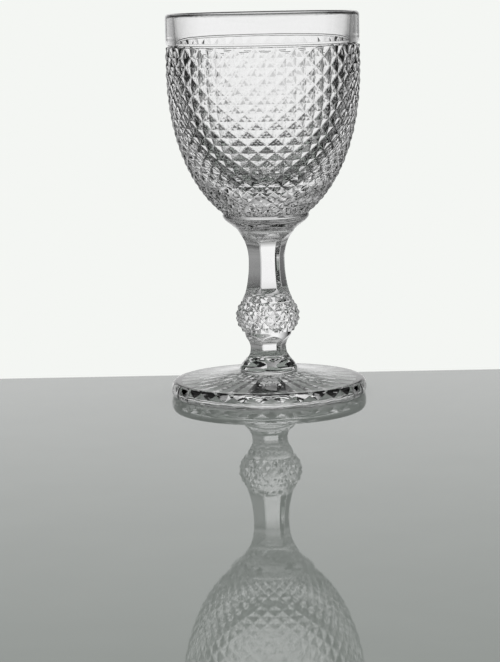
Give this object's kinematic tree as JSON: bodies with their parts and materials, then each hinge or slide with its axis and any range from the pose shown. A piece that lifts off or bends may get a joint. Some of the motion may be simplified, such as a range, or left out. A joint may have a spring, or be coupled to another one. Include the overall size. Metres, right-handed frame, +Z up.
{
  "type": "goblet",
  "caption": "Stemmed pressed-glass goblet: diamond-point bowl with a plain rim band, a six-sided stem with a ball knop and a round foot, for serving a drink.",
  "frame": {"origin": "on the table at the middle of the foot", "axes": "+Z up along the stem; the front flat of the stem faces -Y, turned 13.3 degrees towards +X"},
  "size_m": [0.0876, 0.0876, 0.17],
  "materials": {
    "clear_glass": "clear, fire-polished pressed glass"
  },
  "bodies": {
    "root": {"foot": "clear_glass", "lower_stem": "clear_glass", "knop": "clear_glass", "middle_stem": "clear_glass", "upper_stem": "clear_glass", "bowl_collar": "clear_glass", "bowl": "clear_glass"}
  },
  "joints": []
}
